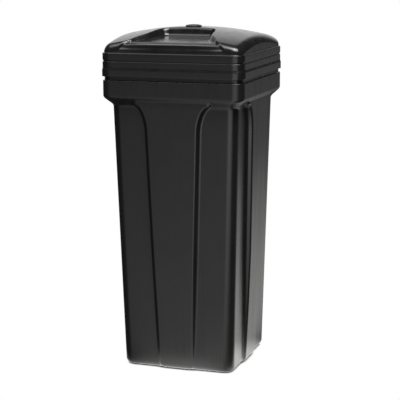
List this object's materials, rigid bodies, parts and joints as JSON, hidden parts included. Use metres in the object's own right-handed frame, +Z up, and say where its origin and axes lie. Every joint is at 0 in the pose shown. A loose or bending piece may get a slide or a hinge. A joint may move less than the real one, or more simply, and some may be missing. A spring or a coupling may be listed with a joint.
{
  "type": "ashtray bin",
  "caption": "Square tapered black plastic ash bin with a lift-off domed lid, a scoop in the lid's front, a lift-out steel liner with two handles, and ballast inside.",
  "frame": {"origin": "centre of the base at ground level", "axes": "+Z up, front face and the lid's scoop towards -Y, +X to the right seen from the front"},
  "size_m": [0.3596, 0.3596, 0.84],
  "materials": {
    "body_plastic": "satin moulded polyethylene",
    "lid_plastic": "satin moulded polyethylene",
    "plug_plastic": "matt",
    "foam": "closed-cell foam",
    "galvanised": "spangled zinc",
    "bright_steel": "zinc-plated",
    "wire_steel": "drawn wire",
    "rubber": "matt",
    "iron": "sand-cast, painted"
  },
  "bodies": {
    "bin": {"body": "body_plastic", "liner_pads": "rubber", "pad_screws": "bright_steel", "ballast_weight": "iron", "lifting_bar_left": "wire_steel", "lifting_bar_right": "wire_steel"},
    "cover": {"lid": "lid_plastic", "crown_plug": "plug_plastic", "lid_gasket": "foam"},
    "liner": {"liner_shell": "galvanised", "liner_base": "galvanised", "liner_rim": "galvanised", "rim_wire": "wire_steel", "handle_plate_left": "galvanised", "handle_plate_right": "galvanised", "plate_rivets": "bright_steel"},
    "handle_left": {"bail_left": "wire_steel", "grip_left": "plug_plastic"},
    "handle_right": {"bail_right": "wire_steel", "grip_right": "plug_plastic"}
  },
  "joints": [
    {"name": "lid_lift", "type": "slide", "parent": "bin", "child": "cover", "axis": [0, 0, 1], "range_m": [0, 0.3]},
    {"name": "liner_lift", "type": "slide", "parent": "bin", "child": "liner", "axis": [0, 0, 1], "range_m": [0, 0.09]},
    {"name": "left_handle_swing", "type": "hinge", "parent": "liner", "child": "handle_left", "pos_m": [-0.1228, 0, 0.618], "axis": [0, -1, 0], "range_deg": [0, 180]},
    {"name": "right_handle_swing", "type": "hinge", "parent": "liner", "child": "handle_right", "pos_m": [0.1228, 0, 0.618], "axis": [0, 1, 0], "range_deg": [0, 180]}
  ]
}
